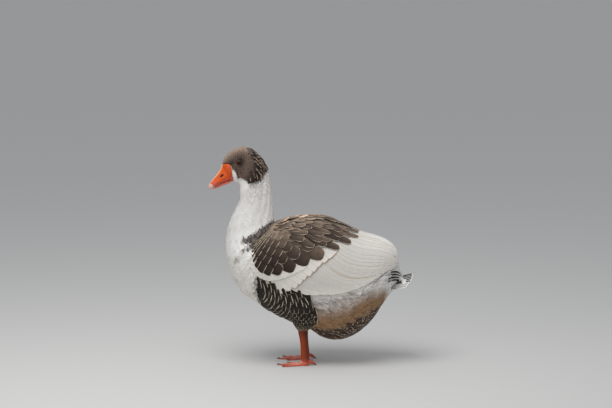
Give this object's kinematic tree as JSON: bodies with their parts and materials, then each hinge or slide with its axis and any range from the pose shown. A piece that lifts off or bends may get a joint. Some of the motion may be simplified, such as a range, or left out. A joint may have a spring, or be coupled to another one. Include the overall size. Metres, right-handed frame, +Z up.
{
  "type": "domestic goose",
  "caption": "Life-size still model of a standing domestic goose with folded wings, dark head and back, white neck and webbed orange feet.",
  "frame": {"origin": "on the floor, under the middle of the bird's box", "axes": "+Z up; the bird faces -X; its left side is +Y and its middle plane is Y = 0"},
  "size_m": [0.5924, 0.2502, 0.6335],
  "materials": {
    "white_plumage": "soft white feathers",
    "brown_plumage": "brown back and wing feathers with thin pale edges",
    "head_plumage": "short grey-brown feathers",
    "flank_plumage": "dark brown feathers with cream edges",
    "bill_horn": "orange horn, satin",
    "leg_scales": "orange-red scaled skin",
    "eye": "wet, dark brown"
  },
  "bodies": {
    "root": {"head": "head_plumage", "neck_upper": "white_plumage", "neck_lower": "white_plumage", "trunk": "white_plumage", "wing_left": "brown_plumage", "wing_right": "brown_plumage", "tail": "flank_plumage", "thigh_left": "flank_plumage", "thigh_right": "flank_plumage", "leg_left": "leg_scales", "leg_right": "leg_scales", "foot_left": "leg_scales", "foot_right": "leg_scales", "bill_upper": "bill_horn", "bill_lower": "bill_horn", "eye_left": "eye", "eye_right": "eye"}
  },
  "joints": []
}
